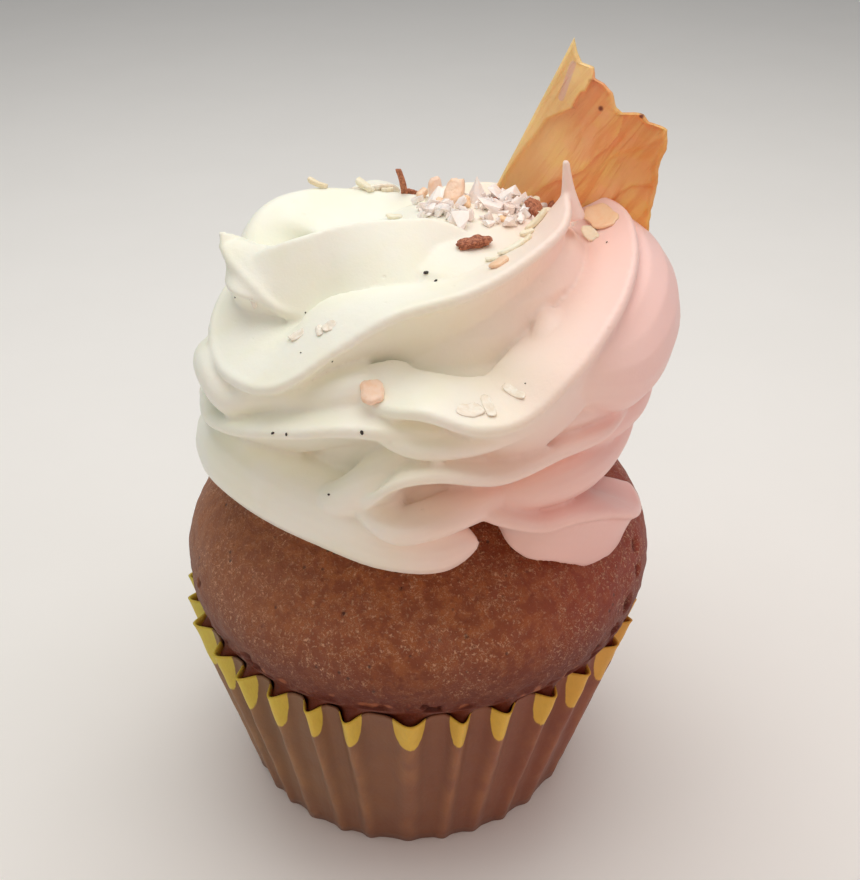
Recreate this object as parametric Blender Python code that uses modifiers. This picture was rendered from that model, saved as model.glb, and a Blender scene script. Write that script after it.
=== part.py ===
"""A frosted cupcake: a sponge in a pleated paper case, a piped swirl of cream and a slice of dried fruit.

Sizes below are millimetres and degrees; the meshes are metres, +Z up. The origin is the centre of the
case's flat underside. Run it with blender --background --python part.py, or from the text editor.
"""

import math

import bmesh
import bpy
import numpy as np

MM = 0.001
GAP = 0.3  # air kept between two touching pieces

# Paper case
BASE_RADIUS = 26.4
CASE_HEIGHT = 33.3
RIM_RADIUS = 34.5  # halfway between the inner and the outer folds
RIM_PLEAT = 1.5  # how far a fold stands out from that at the rim
BASE_PLEAT = 0.35
PAPER_WALL = 0.5
PLEATS = 32
POINTS_PER_PLEAT = 4
CASE_ROWS = 6
RIM_SHIFT = 0.6  # how far the rim sits to +X of the base

# Sponge
DOME_RADIUS = 35.4
DOME_WIDEST_HEIGHT = 40.0
DOME_TOP_HEIGHT = 59.0
DOME_SHIFT = 1.4  # how far the risen dome sits to +X of the case
SPONGE_SEGMENTS = 44

# Cream: the swirl leans to +X, so each tier has its own upright axis
BOTTOM_AXIS = 1.5
MIDDLE_AXIS = 2.5
TOP_AXIS = 5.0
CREAM_VOXEL = 0.8
CREAM_SHARE = 0.05  # of the merged skin's faces that the thinned one keeps
PETAL_STATIONS = 40
NOSE_POINTS = 9
FACE_POINTS = 4

# The core inside the petals: height, axis, radius
CORE = [
    (40.0, BOTTOM_AXIS, 18.0), (58.0, BOTTOM_AXIS, 21.0), (62.0, BOTTOM_AXIS, 28.0), (68.0, 2.0, 29.5),
    (75.0, 3.0, 28.5), (78.5, 4.0, 26.5), (81.0, TOP_AXIS, 20.0), (84.5, 6.0, 19.0), (88.0, 8.5, 16.5),
    (90.6, 9.5, 13.5), (91.9, 10.0, 9.0), (92.3, 10.0, 3.0),
]

# A petal is one ridge of the piped star. Its edge is a curve through knots of azimuth, radius, height and
# nose radius, counter-clockwise and climbing. "top" and "under" are the ends of its two faces, measured from
# the edge: millimetres inwards and up, evenly spaced from the start of the petal to its end. "hollow" is how
# far the lower face sinks between the edge and its end.
PETALS = {
    "A": {
        "axis": TOP_AXIS,
        "edge": [
            (66, 13, 88.6, 1.2), (100, 15, 89.4, 1.2), (123, 19, 89.8, 1.2), (141, 25, 89.8, 1.6),
            (156, 28.4, 88.8, 2.2), (170, 29.4, 86, 2.8), (186, 28, 82, 3.2),
        ],
        "top": [(11, -1), (14, -2), (17, -3), (19, -3.4), (17, -2), (12, 0), (8, 2)],
        "under": [(3, -5), (3, -6), (4, -7), (6, -8)],
    },
    "B": {
        "axis": TOP_AXIS,
        "edge": [
            (184, 30.5, 90, 0.7), (191, 29.4, 88.9, 0.8), (196, 28.5, 88.3, 0.9), (203, 27.4, 87.4, 0.9),
            (208, 26.5, 86.4, 0.9), (213, 25.1, 85.4, 0.9), (220, 22, 84.6, 1),
        ],
        "top": [(3, 1), (5, 3), (5, 3), (4, 2)],
        "under": [(5, -5), (5, -5), (5, -5)],
    },
    "B crest": {
        "axis": TOP_AXIS,
        "edge": [
            (182, 30.4, 91.6, 0.5), (186.5, 30, 89.4, 0.6), (190, 28.8, 88.6, 0.8),
            (194, 26.8, 89.2, 0.8), (197.5, 24.2, 90.8, 0.8), (201, 21.4, 92.1, 0.8),
            (203.5, 17.6, 93.1, 0.8), (206, 14.9, 93.6, 0.9), (211, 11.7, 93.8, 1), (221, 8.4, 93.8, 1),
            (247, 4.8, 93, 1.4), (290, 5, 91.4, 1.8), (320, 9, 89.4, 2),
        ],
        "top": [
            (3, 0), (5, 0), (6, 0), (7, 0), (7, -2), (7, -3), (7, -5), (7, -5), (7, -5), (7, -5), (7, -5),
            (6, -4), (6, -4),
        ],
        "under": [
            (1, -3), (1, -3), (-1.5, -2), (-4, -2.4), (-5, -4.4), (-6, -6.5), (-7.5, -8), (-9, -7.7),
            (-9, -6), (-9, -5), (-9, -4.6), (-8, -4), (-6, -3),
        ],
        "hollow": 0.3,
    },
    "B lobe": {
        "axis": TOP_AXIS,
        "edge": [
            (165, 28, 81, 4), (180, 29.6, 83.4, 4.2), (192, 29, 83.4, 4), (204, 26.5, 83, 3.4),
            (218, 22, 82, 2.4),
        ],
        "top": [(6, 3), (5, 2)],
        "under": [(0, -8), (0, -8)],
    },
    "C": {
        "axis": TOP_AXIS,
        "edge": [
            (168, 28, 84, 1.5), (185, 31.5, 81.4, 1.1), (201, 33.4, 79.3, 1), (217, 34.4, 79.5, 0.9),
            (231, 33.5, 81.1, 0.9), (243, 28, 86, 0.9), (257, 24, 89.7, 0.9), (281, 21, 91.5, 0.9),
            (310, 19, 93.9, 0.9), (336, 18, 95, 0.8), (355, 17.2, 95.8, 0.8), (368, 17, 95.4, 0.8),
        ],
        "top": [
            (7, 6), (9, 5.5), (11, 5.4), (12, 5.4), (12, 5.2), (11, 2.4), (10, -0.3), (10, -2), (10, -4),
            (8, -5), (6, -5), (4, -5),
        ],
        "under": [(7, -5), (8, -5), (5, -9), (2, -11), (0, -10)],
    },
    "D": {
        "axis": TOP_AXIS,
        "edge": [
            (241, 26, 81, 2.2), (249, 28.6, 79.6, 1.6), (257, 31, 80.3, 1), (266, 33, 81.3, 0.9),
            (277, 34.2, 79.8, 0.9), (287, 34.4, 80.6, 0.9), (299, 33.4, 84.8, 0.9), (313, 30.8, 88, 0.9),
            (332, 28, 90, 0.9), (352, 26.5, 91, 0.9), (376, 26, 91.6, 0.9), (394, 23, 91, 1.2),
        ],
        "top": [
            (7, 3), (8, 2.7), (9, 2), (10, 0.7), (10.5, 2), (11.5, 1.2), (12, -1.5), (12, -4), (12, -5),
            (11, -5), (10, -6), (9, -6),
        ],
        "under": [(4, -3), (4, -5), (2, -8), (0, -8), (2, -7)],
    },
    "D roll": {
        "axis": TOP_AXIS,
        "edge": [
            (249, 28, 79, 1.6), (254, 31, 76.9, 1.2), (264, 33, 76, 1.1), (277, 33, 76.5, 1.1),
            (291, 31.8, 77.8, 1.3), (308, 30, 79, 1.6),
        ],
        "top": [(6, 1), (5, 2)],
        "under": [(3, -3), (3, -3)],
    },
    "E": {
        "axis": TOP_AXIS,
        "edge": [
            (292, 27.5, 81, 4), (307, 31, 80.6, 5.5), (322, 33.2, 79.6, 7), (340, 33.3, 81.4, 7.5),
            (360, 32.2, 83.5, 7), (380, 30.5, 84.8, 6), (400, 28, 86.5, 4), (420, 24, 87, 2.5),
        ],
        "top": [(12, 6), (10, 5), (8, 2)],
        "under": [(8, -6), (8, -8), (8, -6)],
    },
    "M": {
        "axis": MIDDLE_AXIS,
        "edge": [
            (165, 30, 68, 3.5), (182, 31, 70, 3.6), (198, 32.6, 73.4, 3.5), (210, 33.2, 76, 3.5),
            (218, 32.6, 76.8, 3.5), (228, 31.2, 78.4, 3.8), (240, 30, 79.4, 4), (252, 28.6, 81.4, 3.2),
            (262, 26, 82, 2.2),
        ],
        "top": [(8, 3), (8, 2)],
        "under": [(6, -3), (5, -3)],
    },
    "F": {
        "axis": MIDDLE_AXIS,
        "edge": [
            (172, 30, 68.5, 1.5), (188, 31.8, 69.3, 1.1), (204, 33.2, 70, 1), (220, 33.8, 72.6, 0.9),
            (238, 33.6, 76, 0.9), (254, 32.2, 77.8, 1), (272, 31.2, 76.8, 1.4), (292, 31.2, 76.6, 1.5),
            (312, 31.6, 75.6, 1.8), (330, 31.6, 74.6, 2),
        ],
        "top": [(6, 1), (6, 2)],
        "under": [(5.5, -6.5), (5, -6), (4, -4.5), (3, -4)],
    },
    "G": {
        "axis": BOTTOM_AXIS,
        "edge": [
            (160, 30, 58, 5), (182, 32, 61, 5.6), (203, 33, 62.8, 5.4), (222, 33.2, 63.8, 5),
            (244, 33.2, 62.9, 4.5), (262, 33.4, 60.6, 4), (276, 33, 59.8, 3.8), (286, 30.5, 60, 3.2),
        ],
        "top": [(9, 4.5), (9, 4.5), (8, 4)],
        "under": [(9, -7), (9, -7)],
    },
    "H": {
        "axis": BOTTOM_AXIS,
        "edge": [
            (252, 29, 66, 2.4), (259, 32.3, 68.6, 1.3), (266, 33.4, 72.4, 0.9), (275, 33.8, 73.6, 0.9),
            (288, 34.2, 72.3, 0.9), (303, 34.2, 73.2, 0.9), (320, 33.6, 72.6, 1), (340, 31.4, 73, 1.4),
        ],
        "top": [(7, -1.5), (7, 0.5), (7, 0.5), (6, 0.5)],
        "under": [(3, -4), (5, -7), (4, -6), (3, -5)],
    },
    "H roll": {
        "axis": BOTTOM_AXIS,
        "edge": [
            (253, 30, 67, 1.8), (259, 33, 65.2, 1.2), (266, 34.6, 64.3, 1.1), (274, 33.6, 65, 1.2),
            (284, 31.5, 66, 1.6),
        ],
        "top": [(6, 1), (6, 1)],
        "under": [(5, -3), (5, -3)],
    },
    "J": {
        "axis": BOTTOM_AXIS,
        "edge": [
            (272, 29.5, 64, 2), (284, 31.6, 64.6, 2.4), (297, 33, 66.6, 3), (312, 33.2, 66.4, 3.4),
            (328, 32, 65.4, 3.4), (345, 31.8, 66.2, 3.6), (362, 31, 66.5, 3.4),
        ],
        "top": [(8, 2), (8, 3)],
        "under": [(8, -4), (8, -4)],
    },
    "I": {
        "axis": BOTTOM_AXIS,
        "edge": [
            (284, 30, 65, 1.6), (290, 33, 64.3, 1.1), (299, 34.2, 62.5, 0.9), (308, 34.4, 62, 0.9),
            (320, 34.6, 59.4, 0.9), (331, 34.9, 55.6, 1), (342, 34.2, 52.5, 1.2), (358, 32, 50, 2),
        ],
        "top": [(9, 2), (8, 5), (8, 6)],
        "under": [(6, -5), (4, -8), (3, -11), (4, -9)],
    },
    "H shoulder": {
        "axis": BOTTOM_AXIS,
        "edge": [(236, 30, 66, 2.4), (247, 31.6, 68, 3.2), (258, 32, 70.4, 3), (268, 31, 72.4, 2)],
        "top": [(8, 2), (8, 2)],
        "under": [(8, -3), (8, -3)],
    },
    "K": {
        "axis": MIDDLE_AXIS,
        "edge": [
            (312, 29.5, 70.5, 2.4), (328, 31.8, 70.6, 3.2), (344, 32.8, 71, 3.4), (362, 32, 72, 3.2),
            (380, 29, 73, 2.4),
        ],
        "top": [(8, 2), (8, 3)],
        "under": [(8, -3), (8, -3)],
    },
}

# A thin point of cream left where the nozzle was pulled away: places and radii along it
WISP = [(22.3, 0.3, 93.0, 2.2), (22.1, 0.6, 95.4, 1.3), (21.8, 1.0, 97.4, 0.85), (21.4, 1.5, 100.6, 0.5)]

# Fruit slice: it stands behind the swirl's top, its lower edge sunk in the cream
FRUIT_FOOT = (24.0, 8.0, 85.0)
FRUIT_TURN = -12.0
FRUIT_LEAN = -8.0
FRUIT_HEIGHT = 28.6
FRUIT_LEFT = (-15.4, 0.45)  # the straight left edge: its place at the foot, and how far it goes in per height
FRUIT_RIGHT = [  # the torn right edge: height, place
    (0, 10.2), (8, 10.6), (12.4, 10.8), (15, 11.7), (17.6, 11.5), (18.2, 9), (19.2, 7.7), (19.8, 5.4),
    (20.6, 4.3), (22.4, 3.7), (23.5, 2.3), (25, 1), (25.4, -0.8), (28.6, -1.6),
]
FRUIT_THICKNESS = 1.6
FRUIT_COLUMNS = 9
FRUIT_ROWS = 19


def remove_all():
    for thing in list(bpy.data.objects):
        bpy.data.objects.remove(thing, do_unlink=True)


def new_collection(name):
    collection = bpy.data.collections.new(name)
    bpy.context.scene.collection.children.link(collection)
    return collection


def new_material(name, colour, roughness):
    material = bpy.data.materials.new(name)
    material.use_nodes = True
    shader = material.node_tree.nodes["Principled BSDF"]
    shader.inputs["Base Color"].default_value = (*colour, 1.0)
    shader.inputs["Roughness"].default_value = roughness
    return material


def new_object(name, shape, collection, material=None):
    """An object from a bmesh in millimetres."""
    mesh = bpy.data.meshes.new(name)
    bmesh.ops.scale(shape, vec=(MM, MM, MM), verts=shape.verts)
    bmesh.ops.recalc_face_normals(shape, faces=shape.faces)
    if shape.calc_volume(signed=True) < 0:
        bmesh.ops.reverse_faces(shape, faces=shape.faces)
    shape.to_mesh(mesh)
    shape.free()
    thing = bpy.data.objects.new(name, mesh)
    collection.objects.link(thing)
    if material:
        mesh.materials.append(material)
    return thing


def smooth_curve(knots, count):
    """Rows read evenly from a Catmull-Rom curve through the knots."""
    knots = np.array(knots, dtype=float)
    padded = np.vstack([2 * knots[0] - knots[1], knots, 2 * knots[-1] - knots[-2]])
    rows = []
    for place in np.linspace(0, len(knots) - 1, count):
        first = min(int(place), len(knots) - 2)
        t = place - first
        before, start, end, after = padded[first:first + 4]
        rows.append(
            start
            + 0.5 * t * (end - before)
            + 0.5 * t**2 * (2 * before - 5 * start + 4 * end - after)
            + 0.5 * t**3 * (3 * start - before - 3 * end + after)
        )
    return np.array(rows)


def add_rings(shape, rings):
    """Joins rings of points, each a list of as many points, into a closed skin."""
    loops = [[shape.verts.new(point) for point in ring] for ring in rings]
    size = len(loops[0])
    for lower, upper in zip(loops, loops[1:]):
        for i in range(size):
            j = (i + 1) % size
            shape.faces.new((lower[i], lower[j], upper[j], upper[i]))
    shape.faces.new(loops[0][::-1])
    shape.faces.new(loops[-1])


def petal_section(nose, top, under, hollow):
    """A petal's section as points inwards and up from its edge: a round nose between two long faces."""
    points = []
    for t in np.linspace(1, 0, FACE_POINTS, endpoint=False):
        points.append((nose + t * (top[0] - nose), nose + t * (top[1] - nose) + 0.1 * top[0] * t * (1 - t)))
    for angle in np.linspace(math.pi / 2, 3 * math.pi / 2, NOSE_POINTS):
        points.append((nose + nose * math.cos(angle), nose * math.sin(angle)))
    run, drop = under[0] - nose, under[1] + nose
    for t in np.linspace(0, 1, FACE_POINTS + 1)[1:]:
        deep = hollow * t * (1 - t) / math.hypot(run, drop)
        points.append((nose + t * run - deep * drop, -nose + t * drop + deep * run))
    if under[0] < 0:
        points.append(((top[0] + under[0]) / 2, under[1] - 9))
    else:
        points.append((max(top[0], under[0]) + 5, under[1]))
    return points


def add_petal(shape, petal):
    rows = smooth_curve(petal["edge"], PETAL_STATIONS)
    azimuth = np.radians(rows[:, 0])
    edge = np.column_stack([
        petal["axis"] + rows[:, 1] * np.cos(azimuth), rows[:, 1] * np.sin(azimuth), rows[:, 2]
    ])
    # sections stand across the edge's direction, averaged over neighbours so that they don't cross in a bend
    reach = PETAL_STATIONS // 10
    padded = np.pad(np.gradient(edge[:, :2], axis=0), ((reach, reach), (0, 0)), "edge")
    along = sum(padded[shift:shift + PETAL_STATIONS] for shift in range(2 * reach + 1))
    along /= np.linalg.norm(along, axis=1)[:, None]
    tops = smooth_curve(petal["top"], PETAL_STATIONS)
    unders = smooth_curve(petal["under"], PETAL_STATIONS)
    rings = []
    for i, place in enumerate(np.linspace(0, 1, PETAL_STATIONS)):
        from_end = min(place, 1 - place) / 0.07
        size = math.sqrt(1 - (1 - min(from_end, 0.97)) ** 2) if from_end < 1 else 1.0
        inward = np.array([-along[i, 1], along[i, 0], 0.0])
        rings.append([
            edge[i] + size * (inner * inward + np.array([0, 0, up]))
            for inner, up in petal_section(rows[i, 3], tops[i], unders[i], petal.get("hollow", 1.7))
        ])
    add_rings(shape, rings)


def add_wisp(shape):
    rings = []
    for x, y, z, radius in smooth_curve(WISP, 10):
        rings.append([
            (x + radius * math.cos(turn), y + radius * math.sin(turn), z)
            for turn in np.linspace(0, 2 * math.pi, 12, endpoint=False)
        ])
    add_rings(shape, rings)


def add_core(shape):
    rings = []
    for height, axis, radius in CORE:
        rings.append([
            (axis + radius * math.cos(turn), radius * math.sin(turn), height)
            for turn in np.linspace(0, 2 * math.pi, 48, endpoint=False)
        ])
    add_rings(shape, rings)


def back_petals():
    """The petals round the back, which follow one rule: start low on the outside, bulge, climb, turn in."""
    petals = []
    for start, span, size, lift in ((5, 1.0, 0.98, 0.0), (60, 0.85, 0.96, 1.0), (105, 0.5, 0.98, -1.0)):
        petals.append({
            "axis": TOP_AXIS,
            "edge": [
                (start, 28 * size, 77, 1.6), (start + 16 * span, 33 * size, 78, 0.9),
                (start + 34 * span, 34 * size, 79, 0.9), (start + 50 * span, 31 * size, 84 + lift, 0.9),
                (start + 66 * span, 27 * size, 87.5 + lift, 0.9),
                (start + 90 * span, 21 * size, 88 + lift, 1), (start + 110 * span, 14 * size, 86, 1.4),
            ],
            "top": [(12, 2), (12, 1), (8, -3), (6, -4)],
            "under": [(5, -5), (5, -7), (3, -8), (2, -6)],
        })
    for axis, base, starts in (
        (MIDDLE_AXIS, 67.0, ((330, 0.93), (25, 0.98), (75, 1.0), (116, 0.94))),
        (BOTTOM_AXIS, 58.0, ((350, 0.95), (35, 0.97), (80, 0.99), (122, 0.96))),
    ):
        for start, size in starts:
            petals.append({
                "axis": axis,
                "edge": [
                    (start, 30 * size, base - 1, 2), (start + 12, 33 * size, base + 0.5, 1),
                    (start + 28, 34.4 * size, base + 2, 0.9), (start + 46, 34 * size, base + 6, 0.9),
                    (start + 66, 32.6 * size, base + 9, 1), (start + 84, 30 * size, base + 10, 1.6),
                ],
                "top": [(9, 2), (9, 2)],
                "under": [(6, -5), (6, -7), (5, -6)],
            })
    return petals


def case_radius(part, turn):
    """Radius of the paper's outside at a part of its height: pleats that grow from the base to the rim."""
    middle = BASE_RADIUS + (RIM_RADIUS - BASE_RADIUS) * part
    depth = BASE_PLEAT + (RIM_PLEAT - BASE_PLEAT) * part
    return middle + depth * math.cos(PLEATS * turn)


def sponge_profile(grow=0.0):
    """Radius, height and sideways shift, from the base up inside the paper's folds and over the dome."""
    points = []
    for height in (PAPER_WALL + GAP, 12.0, 24.0, CASE_HEIGHT + GAP):
        part = height / CASE_HEIGHT
        fold = case_radius(part, math.pi / PLEATS)
        points.append((fold - PAPER_WALL - 2 * GAP + grow, height, RIM_SHIFT * part))
    lift = DOME_TOP_HEIGHT - DOME_WIDEST_HEIGHT
    for turn in np.radians(np.linspace(-15.0, 90.0, 10)):
        radius = (DOME_RADIUS + grow) * math.cos(turn) ** 0.8
        points.append((radius, DOME_WIDEST_HEIGHT + (lift + grow) * math.sin(turn), DOME_SHIFT))
    return points


def add_lathe(shape, profile, segments):
    rings = []
    for radius, height, shift in profile:
        radius = max(radius, 0.5)
        rings.append([
            (shift + radius * math.cos(turn), radius * math.sin(turn), height)
            for turn in np.linspace(0, 2 * math.pi, segments, endpoint=False)
        ])
    add_rings(shape, rings)


def build_paper_case(collection, material):
    shape = bmesh.new()
    turns = np.linspace(0, 2 * math.pi, PLEATS * POINTS_PER_PLEAT, endpoint=False)

    def ring(height, inset):
        rows = []
        part = height / CASE_HEIGHT
        for turn in turns:
            radius = case_radius(part, turn) - inset
            rows.append((RIM_SHIFT * part + radius * math.cos(turn), radius * math.sin(turn), height))
        return rows

    outside = [ring(height, 0.0) for height in np.linspace(0, CASE_HEIGHT, CASE_ROWS)]
    inside = [ring(height, PAPER_WALL) for height in np.linspace(CASE_HEIGHT, PAPER_WALL, CASE_ROWS)]
    add_rings(shape, outside + inside)
    return new_object("paper_case", shape, collection, material)


def build_sponge(collection, material):
    shape = bmesh.new()
    add_lathe(shape, sponge_profile(), SPONGE_SEGMENTS)
    return new_object("sponge", shape, collection, material)


def fruit_fold(across, height):
    """How far the dried slice buckles out of its plane: long folds that fan out from its foot."""
    return 1.1 * math.sin(0.42 * across - 0.16 * height + 0.6) + 0.5 * math.sin(0.5 * height + 0.3 * across)


def add_fruit(shape, grow=0.0):
    """The slice as a closed slab; grow thickens it all round for its slot in the cream."""
    turn, lean = math.radians(FRUIT_TURN), math.radians(FRUIT_LEAN)
    side = np.array([math.cos(turn), math.sin(turn), 0.0])
    out = np.array([-math.sin(turn), math.cos(turn), 0.0])
    up = np.array([0.0, 0.0, math.cos(lean)]) - out * math.sin(lean)
    heights, rights = zip(*FRUIT_RIGHT)
    rings = []
    for height in np.linspace(-grow, FRUIT_HEIGHT + grow, FRUIT_ROWS):
        left = FRUIT_LEFT[0] + FRUIT_LEFT[1] * height - grow
        right = np.interp(height, heights, rights) + grow
        front, back = [], []
        for across in np.linspace(left, right, FRUIT_COLUMNS):
            middle = np.array(FRUIT_FOOT) + side * across + up * height
            middle += out * fruit_fold(across, height)
            half = FRUIT_THICKNESS / 2 + grow
            front.append(middle - out * half)
            back.append(middle + out * half)
        rings.append(front + back[::-1])
    add_rings(shape, rings)


def build_fruit(collection, material):
    shape = bmesh.new()
    add_fruit(shape)
    return new_object("dried_fruit", shape, collection, material)


def cut(thing, cutter, name):
    boolean = thing.modifiers.new(name, "BOOLEAN")
    boolean.operation = "DIFFERENCE"
    boolean.solver = "EXACT"
    boolean.object = cutter


def build_cream(collection, cutters, material):
    shape = bmesh.new()
    add_core(shape)
    for petal in list(PETALS.values()) + back_petals():
        add_petal(shape, petal)
    add_wisp(shape)
    cream = new_object("cream", shape, collection, material)
    merge = cream.modifiers.new("merge petals", "REMESH")
    merge.mode = "VOXEL"
    merge.voxel_size = CREAM_VOXEL * MM
    soften = cream.modifiers.new("soften", "SMOOTH")
    soften.factor = 0.5
    soften.iterations = 2
    thin = cream.modifiers.new("fewer triangles", "DECIMATE")
    thin.ratio = CREAM_SHARE

    dome = bmesh.new()
    add_lathe(dome, sponge_profile(GAP), SPONGE_SEGMENTS)
    slot = bmesh.new()
    add_fruit(slot, GAP)
    for name, shape in (("sponge room", dome), ("fruit slot", slot)):
        cutter = new_object(name, shape, cutters)
        cutter.hide_render = True
        cutter.display_type = "WIRE"
        cut(cream, cutter, name)
    return cream


def main():
    remove_all()
    parts = new_collection("cupcake")
    cutters = new_collection("cutters")
    build_paper_case(parts, new_material("case paper", (0.20, 0.09, 0.03), 0.55))
    build_sponge(parts, new_material("sponge", (0.22, 0.06, 0.02), 0.6))
    build_cream(parts, cutters, new_material("cream", (0.93, 0.90, 0.80), 0.5))
    build_fruit(parts, new_material("dried fruit", (0.80, 0.33, 0.09), 0.5))


main()
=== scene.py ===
import math
import random

import bmesh
import bpy
import numpy as np
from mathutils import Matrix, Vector, noise
from mathutils.bvhtree import BVHTree


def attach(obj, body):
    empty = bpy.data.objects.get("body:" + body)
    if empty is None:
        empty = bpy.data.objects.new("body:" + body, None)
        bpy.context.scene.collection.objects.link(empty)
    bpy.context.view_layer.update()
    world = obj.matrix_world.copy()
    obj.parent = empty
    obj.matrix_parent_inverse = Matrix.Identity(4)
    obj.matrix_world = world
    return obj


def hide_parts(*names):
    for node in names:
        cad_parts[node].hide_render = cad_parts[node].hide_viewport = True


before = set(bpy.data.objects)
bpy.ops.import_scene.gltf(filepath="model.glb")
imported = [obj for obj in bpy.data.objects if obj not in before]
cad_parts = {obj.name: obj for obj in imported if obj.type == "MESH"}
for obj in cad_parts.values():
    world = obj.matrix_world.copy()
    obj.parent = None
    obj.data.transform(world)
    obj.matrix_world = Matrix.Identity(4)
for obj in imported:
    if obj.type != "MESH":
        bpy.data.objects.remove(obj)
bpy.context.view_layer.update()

# Every length below is in millimetres and every angle in degrees; meshes are scaled to metres when made.
mm = 0.001


def paint(red, green, blue):
    # a colour given as 0 to 255, turned into the linear one that shaders use
    parts = [value / 255 for value in (red, green, blue)]
    return tuple(p / 12.92 if p <= 0.04045 else ((p + 0.055) / 1.055) ** 2.4 for p in parts)


class Wire:
    # one output of a node; sums, products and so on of these add Math nodes
    def __init__(self, finish, socket):
        self.finish = finish
        self.socket = socket

    def math(self, operation, *values):
        return self.finish.node("ShaderNodeMath", {"operation": operation}, dict(enumerate(values)))

    def __add__(self, other):
        return self.math("ADD", self, other)

    def __radd__(self, other):
        return self.math("ADD", other, self)

    def __sub__(self, other):
        return self.math("SUBTRACT", self, other)

    def __rsub__(self, other):
        return self.math("SUBTRACT", other, self)

    def __mul__(self, other):
        return self.math("MULTIPLY", self, other)

    def __rmul__(self, other):
        return self.math("MULTIPLY", other, self)

    def __truediv__(self, other):
        return self.math("DIVIDE", self, other)

    def __rtruediv__(self, other):
        return self.math("DIVIDE", other, self)

    def __pow__(self, other):
        return self.math("POWER", self, other)

    def __rpow__(self, other):
        return self.math("POWER", other, self)

    def __abs__(self):
        return self.math("ABSOLUTE", self)

    def step(self, low, high):
        # 0 below low, 1 above high, smooth between; low may be the larger
        return self.finish.node(
            "ShaderNodeMapRange", {"interpolation_type": "SMOOTHSTEP"},
            {"Value": self, "From Min": low, "From Max": high},
        )


class Finish:
    # a material with its nodes
    def __init__(self, name, **values):
        self.material = bpy.data.materials.new(name)
        self.material.use_nodes = True
        self.tree = self.material.node_tree
        self.shader = self.tree.nodes["Principled BSDF"]
        for key, value in values.items():
            self.fill(self.shader.inputs[key.replace("_", " ")], value)
        self.place = self.node("ShaderNodeTexCoord", {}, {}, "Object")

    def fill(self, socket, value):
        if isinstance(value, Wire):
            self.tree.links.new(value.socket, socket)
        elif isinstance(value, tuple) and socket.type == "RGBA":
            socket.default_value = (*value[:3], 1.0)
        else:
            socket.default_value = value

    def node(self, kind, settings, inputs, output=0):
        # adds a node: its type, its settings, the values or links of its sockets, and the output to take
        made = self.tree.nodes.new(kind)
        for key, value in settings.items():
            setattr(made, key, value)
        for key, value in inputs.items():
            self.fill(made.inputs[key], value)
        return Wire(self, made.outputs[output])

    def set(self, name, value):
        self.fill(self.shader.inputs[name], value)

    def mix(self, share, first, second):
        return self.node("ShaderNodeMix", {"data_type": "RGBA"}, {0: share, 6: first, 7: second}, 2)

    def coats(self, colour, *layers):
        # each layer is a share, from 0 to 1 over the surface, and a colour painted over what is there
        for share, layer in layers:
            colour = self.mix(share, colour, paint(*layer))
        return colour

    def stretched(self, x, y, z):
        # the place on the object, in millimetres, squeezed by a factor along each axis
        factors = (x / mm, y / mm, z / mm)
        return self.node("ShaderNodeVectorMath", {"operation": "MULTIPLY"}, {0: self.place, 1: factors})

    def grain(self, size, detail=2.0, roughness=0.5, place=None, distortion=0.0):
        # soft noise with lumps of about this size in millimetres, around 0.5
        return self.node(
            "ShaderNodeTexNoise", {},
            {"Vector": place or self.stretched(1, 1, 1), "Scale": 1.0 / size, "Detail": detail,
             "Roughness": roughness, "Distortion": distortion},
        )

    def cells(self, size):
        # distance from the nearest of scattered points about this far apart in millimetres
        inputs = {"Vector": self.stretched(1, 1, 1), "Scale": 1.0 / size}
        return self.node("ShaderNodeTexVoronoi", {}, inputs)

    def axis(self, name):
        # the object's own x, y or z in millimetres
        return self.node("ShaderNodeSeparateXYZ", {}, {0: self.stretched(1, 1, 1)}, name)

    def kept(self, name):
        # a value that the mesh keeps at each of its points
        return self.node("ShaderNodeAttribute", {"attribute_name": name}, {}, "Fac")

    def bump(self, height, distance, strength):
        inputs = {"Height": height, "Distance": distance * mm, "Strength": strength}
        return self.node("ShaderNodeBump", {}, inputs)


def newPiece(name, points, faces, finish, smooth=True, values=None):
    # a mesh piece from points in millimetres, with values kept at its points
    mesh = bpy.data.meshes.new(name)
    mesh.from_pydata((np.array(points, dtype=float) * mm).tolist(), [], faces)
    for key, column in (values or {}).items():
        kept = mesh.attributes.new(key, "FLOAT", "POINT")
        kept.data.foreach_set("value", np.array(column, dtype=np.float32))
    mesh.materials.append(finish.material)
    mesh.polygons.foreach_set("use_smooth", [smooth] * len(mesh.polygons))
    mesh.update()
    piece = bpy.data.objects.new(name, mesh)
    bpy.context.scene.collection.objects.link(piece)
    return piece


def faceOutwards(piece):
    shape = bmesh.new()
    shape.from_mesh(piece.data)
    bmesh.ops.recalc_face_normals(shape, faces=shape.faces)
    if shape.calc_volume(signed=True) < 0:
        bmesh.ops.reverse_faces(shape, faces=shape.faces)
    shape.to_mesh(piece.data)
    shape.free()


def settleModifiers(piece):
    # puts the result of the modifiers into the mesh
    graph = bpy.context.evaluated_depsgraph_get()
    mesh = bpy.data.meshes.new_from_object(piece.evaluated_get(graph))
    piece.modifiers.clear()
    old = piece.data
    piece.data = mesh
    bpy.data.meshes.remove(old)


def around(count):
    # directions evenly round a circle
    return np.linspace(0, 2 * math.pi, count, endpoint=False)


def onCircle(middle, radius, turn):
    x, y, z = middle
    return x + radius * math.cos(turn), y + radius * math.sin(turn), z


def joinRings(rings):
    # points and faces of a closed skin over rings that have as many points each
    size = len(rings[0])
    points = [point for ring in rings for point in ring]
    faces = []
    for row in range(len(rings) - 1):
        for i in range(size):
            j = (i + 1) % size
            faces.append((row * size + i, row * size + j, (row + 1) * size + j, (row + 1) * size + i))
    faces.append(tuple(range(size))[::-1])
    faces.append(tuple(range(len(points) - size, len(points))))
    return points, faces


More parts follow.
